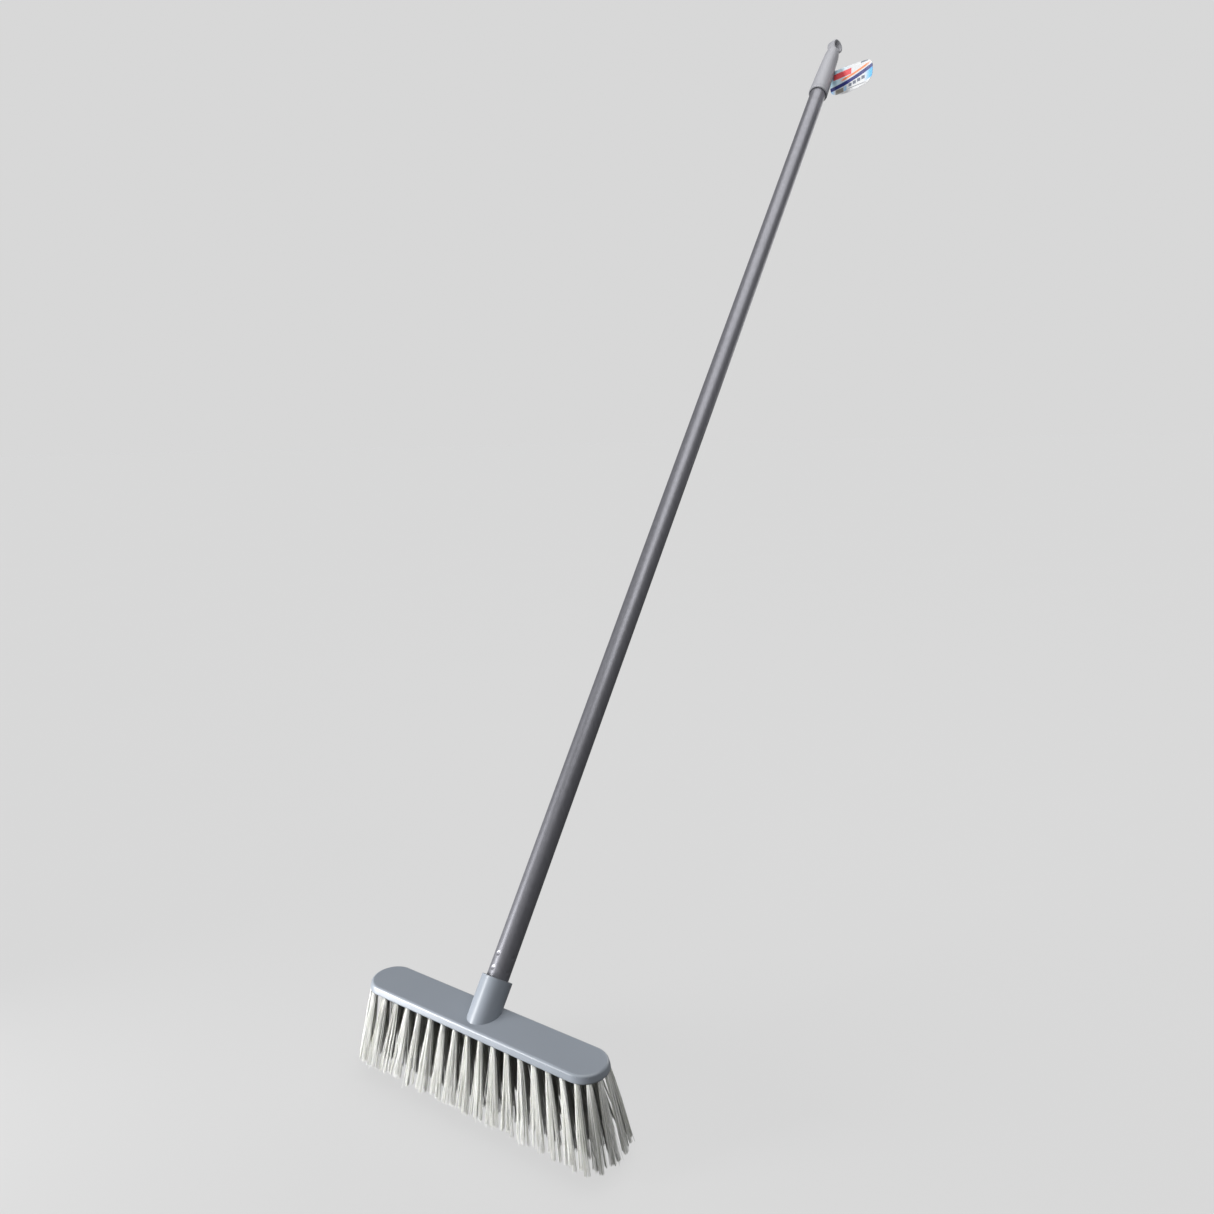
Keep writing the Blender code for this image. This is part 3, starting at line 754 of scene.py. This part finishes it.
def eye_lug():
    bm = bmesh.new()
    bmesh.ops.create_cone(bm, cap_ends=True, segments=96, radius1=EYE_RADIUS, radius2=EYE_RADIUS,
                          depth=EYE_THICKNESS)
    mesh = bevelled(mesh_from(bm, "lug"), EYE_EDGE, 4)
    mesh.transform(eye_place())
    return mesh


def eye_hole():
    half = EYE_THICKNESS / 2
    points = [(0, half + 0.005), (EYE_HOLE + EYE_FLARE, half + 0.005)]
    for index in range(17):
        angle = math.pi / 2 - math.pi * index / 16
        points.append((EYE_HOLE + EYE_FLARE * (1 - math.cos(angle)), half * math.sin(angle)))
    mesh = turned("hole", points + [(EYE_HOLE + EYE_FLARE, -half - 0.005), (0, -half - 0.005)])
    mesh.transform(eye_place())
    return mesh


def make_cap(material):
    """Booleans give the cap its shape, and a fine remesh melts their joints into one moulding."""
    obj = working_object("cap", cap_shell())
    combine(obj, eye_lug(), "UNION")
    combine(obj, eye_hole(), "DIFFERENCE")
    remesh = obj.modifiers.new("remesh", "REMESH")
    remesh.mode = "VOXEL"
    remesh.voxel_size = 0.0005
    soften = obj.modifiers.new("soften", "SMOOTH")
    soften.factor = 0.5
    soften.iterations = 5
    mesh = finished(obj)
    line = on_handle("hanger_cap")[0] + CAP_LINE
    for vert in mesh.vertices:
        out = math.hypot(vert.co.x, vert.co.y)
        away = abs(vert.co.z - line) / (CAP_LINE_WIDTH / 2)
        if away < 1 and out > CAP_LINE_OUTSIDE:
            pressed = 1 - CAP_LINE_DEPTH / out * (1 - away * away)
            vert.co.x *= pressed
            vert.co.y *= pressed
    mesh.shade_smooth()
    add_piece("hanger", mesh, material, "handle", ["hanger_cap"], HANDLE)


# ---- card tag ----
def corner_drop(x, radius):
    """How far a rounded corner has pulled the card's edge in at a place along it."""
    into = max(0.0, abs(x) - (TAG_LENGTH / 2 - radius))
    return radius - math.sqrt(max(0.0, radius ** 2 - into ** 2))


def make_tag(material):
    """A card with a bowed lower edge and a slight curl away from the handle. Its corners are round
    but for the upper one that meets the cap."""
    low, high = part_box("hang_tag")
    height = high.z - low.z
    columns, rows = 60, 20
    verts, uvs = [], []
    for side in (-1, 1):
        for column in range(columns + 1):
            u = 0.5 - 0.5 * math.cos(math.pi * column / columns)
            x = (u - 0.5) * TAG_LENGTH
            top_corner = TAG_CORNER if x > 0 else TAG_HIDDEN_CORNER
            top = height / 2 - corner_drop(x, top_corner) - TAG_SLOPE * u * u
            bottom = -height / 2 + corner_drop(x, TAG_CORNER) + TAG_SAG * (2 * u - 1) ** 2
            for row in range(rows + 1):
                z = bottom + (top - bottom) * row / rows
                y = TAG_CURL * u * u + side * TAG_THICKNESS / 2
                verts.append((x, y, z))
                uvs.append((u, z / height + 0.5))
    stride = rows + 1
    sheet = (columns + 1) * stride
    faces = []
    for column in range(columns):
        for row in range(rows):
            a = column * stride + row
            b = a + stride
            faces.append((a, b, b + 1, a + 1))
            faces.append((sheet + a, sheet + a + 1, sheet + b + 1, sheet + b))
    border = [row for row in range(rows)] + [c * stride + rows for c in range(columns)]
    border += [columns * stride + row for row in range(rows, 0, -1)]
    border += [c * stride for c in range(columns, 0, -1)]
    for one, two in zip(border, border[1:] + border[:1]):
        faces.append((one, two, sheet + two, sheet + one))
    mesh = bpy.data.meshes.new("card")
    mesh.from_pydata(verts, [], faces)
    layer = mesh.uv_layers.new(name="print")
    for loop in mesh.loops:
        layer.data[loop.index].uv = uvs[loop.vertex_index]
    mesh.shade_smooth()
    mesh.set_sharp_from_angle(angle=math.radians(40))
    place = Matrix.Translation((low + high) / 2) @ Matrix.Rotation(TAG_TURN, 4, "Z")
    add_piece("printed_card", mesh, material, "handle", ["hang_tag"], place)


# ---- stage ----
BACKDROP = 0.686                # the tone of floor and backdrop
BOUNCE = 0.11                   # the tone with which floor and backdrop light the broom
FLOOR_GLOW = 0.86               # share of the floor's tone that no shadow dims
FLOOR_DROP = 0.0165             # the head comes this much lower as it is unscrewed
# power, the way to the lamp and its width in degrees
SUNS = {"key": (2.2, (-0.64, -0.71, 0.29), 20), "top": (2.2, (0.15, -0.02, 0.98), 64),
        "fill": (1.3, (-0.1, 0.95, 0.12), 60)}


def make_camera():
    data = bpy.data.cameras.new("camera")
    data.lens = 27.8
    data.clip_start = 0.02
    camera = bpy.data.objects.new("camera", data)
    bpy.context.scene.collection.objects.link(camera)
    right = Vector((0.82975878, 0.55780881, -0.0187001))
    up = Vector((-0.08654662, 0.1616965, 0.98303811))
    back = Vector((0.55137106, -0.81406607, 0.18244556))
    turn = Matrix((right, up, back)).transposed().to_4x4()
    block_top = Vector((0, block_outline()[2], FOOT.z))
    camera.matrix_world = Matrix.Translation(block_top + Vector((0.55297, -0.59269, 0.53872))) @ turn
    bpy.context.scene.camera = camera


def make_floor():
    """A plain pale floor. Most of its tone is its own, so that shadows on it stay faint."""
    bm = bmesh.new()
    bmesh.ops.create_circle(bm, cap_ends=True, segments=64, radius=60)
    floor = working_object("floor", mesh_from(bm, "floor"))
    floor.location.z = CAD_BOX[0].z - FLOOR_DROP
    falling = BOUNCE + sum(power * Vector(way).normalized().z for power, way, _ in SUNS.values()) / math.pi
    nodes = Nodes("floor_paint")
    path = nodes.new("ShaderNodeLightPath").outputs["Is Camera Ray"]
    albedo = nodes.span(path, 0, 1, BOUNCE / 2 / falling, (1 - FLOOR_GLOW) * BACKDROP / falling)
    speckle = nodes.span(nodes.noise(3, 2), 0.3, 0.7, 0.99, 1.01)
    glow = nodes.span(path, 0, 1, BOUNCE / 2, BACKDROP * FLOOR_GLOW)
    nodes.surface(Base_Color=nodes.math("MULTIPLY", albedo, speckle), Roughness=1.0,
                  Specular_IOR_Level=0.0, Emission_Color=(1, 1, 1, 1), Emission_Strength=glow)
    floor.data.materials.append(nodes.material)


def make_world():
    world = bpy.data.worlds.new("studio")
    bpy.context.scene.world = world
    world.use_nodes = True
    tree = world.node_tree
    tree.nodes.clear()
    output = tree.nodes.new("ShaderNodeOutputWorld")
    mix = tree.nodes.new("ShaderNodeMixShader")
    seen = tree.nodes.new("ShaderNodeBackground")
    light = tree.nodes.new("ShaderNodeBackground")
    path = tree.nodes.new("ShaderNodeLightPath")
    seen.inputs["Color"].default_value = (BACKDROP, BACKDROP, BACKDROP, 1)
    light.inputs["Color"].default_value = (0.95, 0.97, 1.0, 1)
    light.inputs["Strength"].default_value = BOUNCE
    tree.links.new(path.outputs["Is Camera Ray"], mix.inputs["Fac"])
    tree.links.new(light.outputs["Background"], mix.inputs[1])
    tree.links.new(seen.outputs["Background"], mix.inputs[2])
    tree.links.new(mix.outputs["Shader"], output.inputs["Surface"])


def add_light(kind, name, place, target, power):
    data = bpy.data.lights.new(name, kind)
    data.energy = power
    light = bpy.data.objects.new(name, data)
    bpy.context.scene.collection.objects.link(light)
    light.location = place
    light.rotation_mode = "QUATERNION"
    light.rotation_quaternion = (Vector(place) - Vector(target)).to_track_quat("Z", "Y")
    return data


def soft_box(name, place, target, size, power, spread):
    """A rectangular lamp near the broom. A narrow spread keeps it off the rest."""
    data = add_light("AREA", name, Vector(place), Vector(target), power)
    data.shape = "RECTANGLE"
    data.size, data.size_y = size
    data.spread = math.radians(spread)


def make_lights():
    """Key from the front left, a top light, a low one for the bristles, one for the upper handle."""
    for name, (power, way, angle) in SUNS.items():
        lamp = add_light("SUN", name, 3 * Vector(way), Vector(), power)
        lamp.angle = math.radians(angle)
    foot = FOOT + Vector((-0.04, -0.03, -0.03))
    soft_box("low", foot + Vector((-0.62, -0.56, 0.01)), foot, (0.4, 0.08), 1.55, 60)
    soft_box("upper", (0.35, -1.15, 0.25), (0, -0.1, -0.1), (0.7, 0.7), 3.2, 100)


# ---- the scene ----
def build():
    bpy.context.scene.view_settings.view_transform = "Standard"
    make_camera()
    make_world()
    make_floor()
    make_lights()
    slate = moulded_plastic("block_plastic", (0.24, 0.265, 0.30), 0.3)
    # The inner rows get fibre darkened to 0.3 of the outer tone: painted shade for the shadow between the tufts,
    # where the real fibre is as pale as the outer.
    roots = make_bristles(bristle_fibre("outer_fibre"), bristle_fibre("inner_fibre_painted_shade", 0.3))
    make_block(roots, slate)
    make_tube(coated_metal("tube_film"))
    make_insert(moulded_plastic("insert_plastic", (0.03, 0.03, 0.033), 0.42))
    make_cap(moulded_plastic("cap_plastic", (0.30, 0.302, 0.325), 0.5))
    make_tag(printed_card("printed_card"))
    steel = NODES["steel_tube"]
    steel.data.materials.clear()
    steel.data.materials.append(bare_steel("bare_steel"))


build()
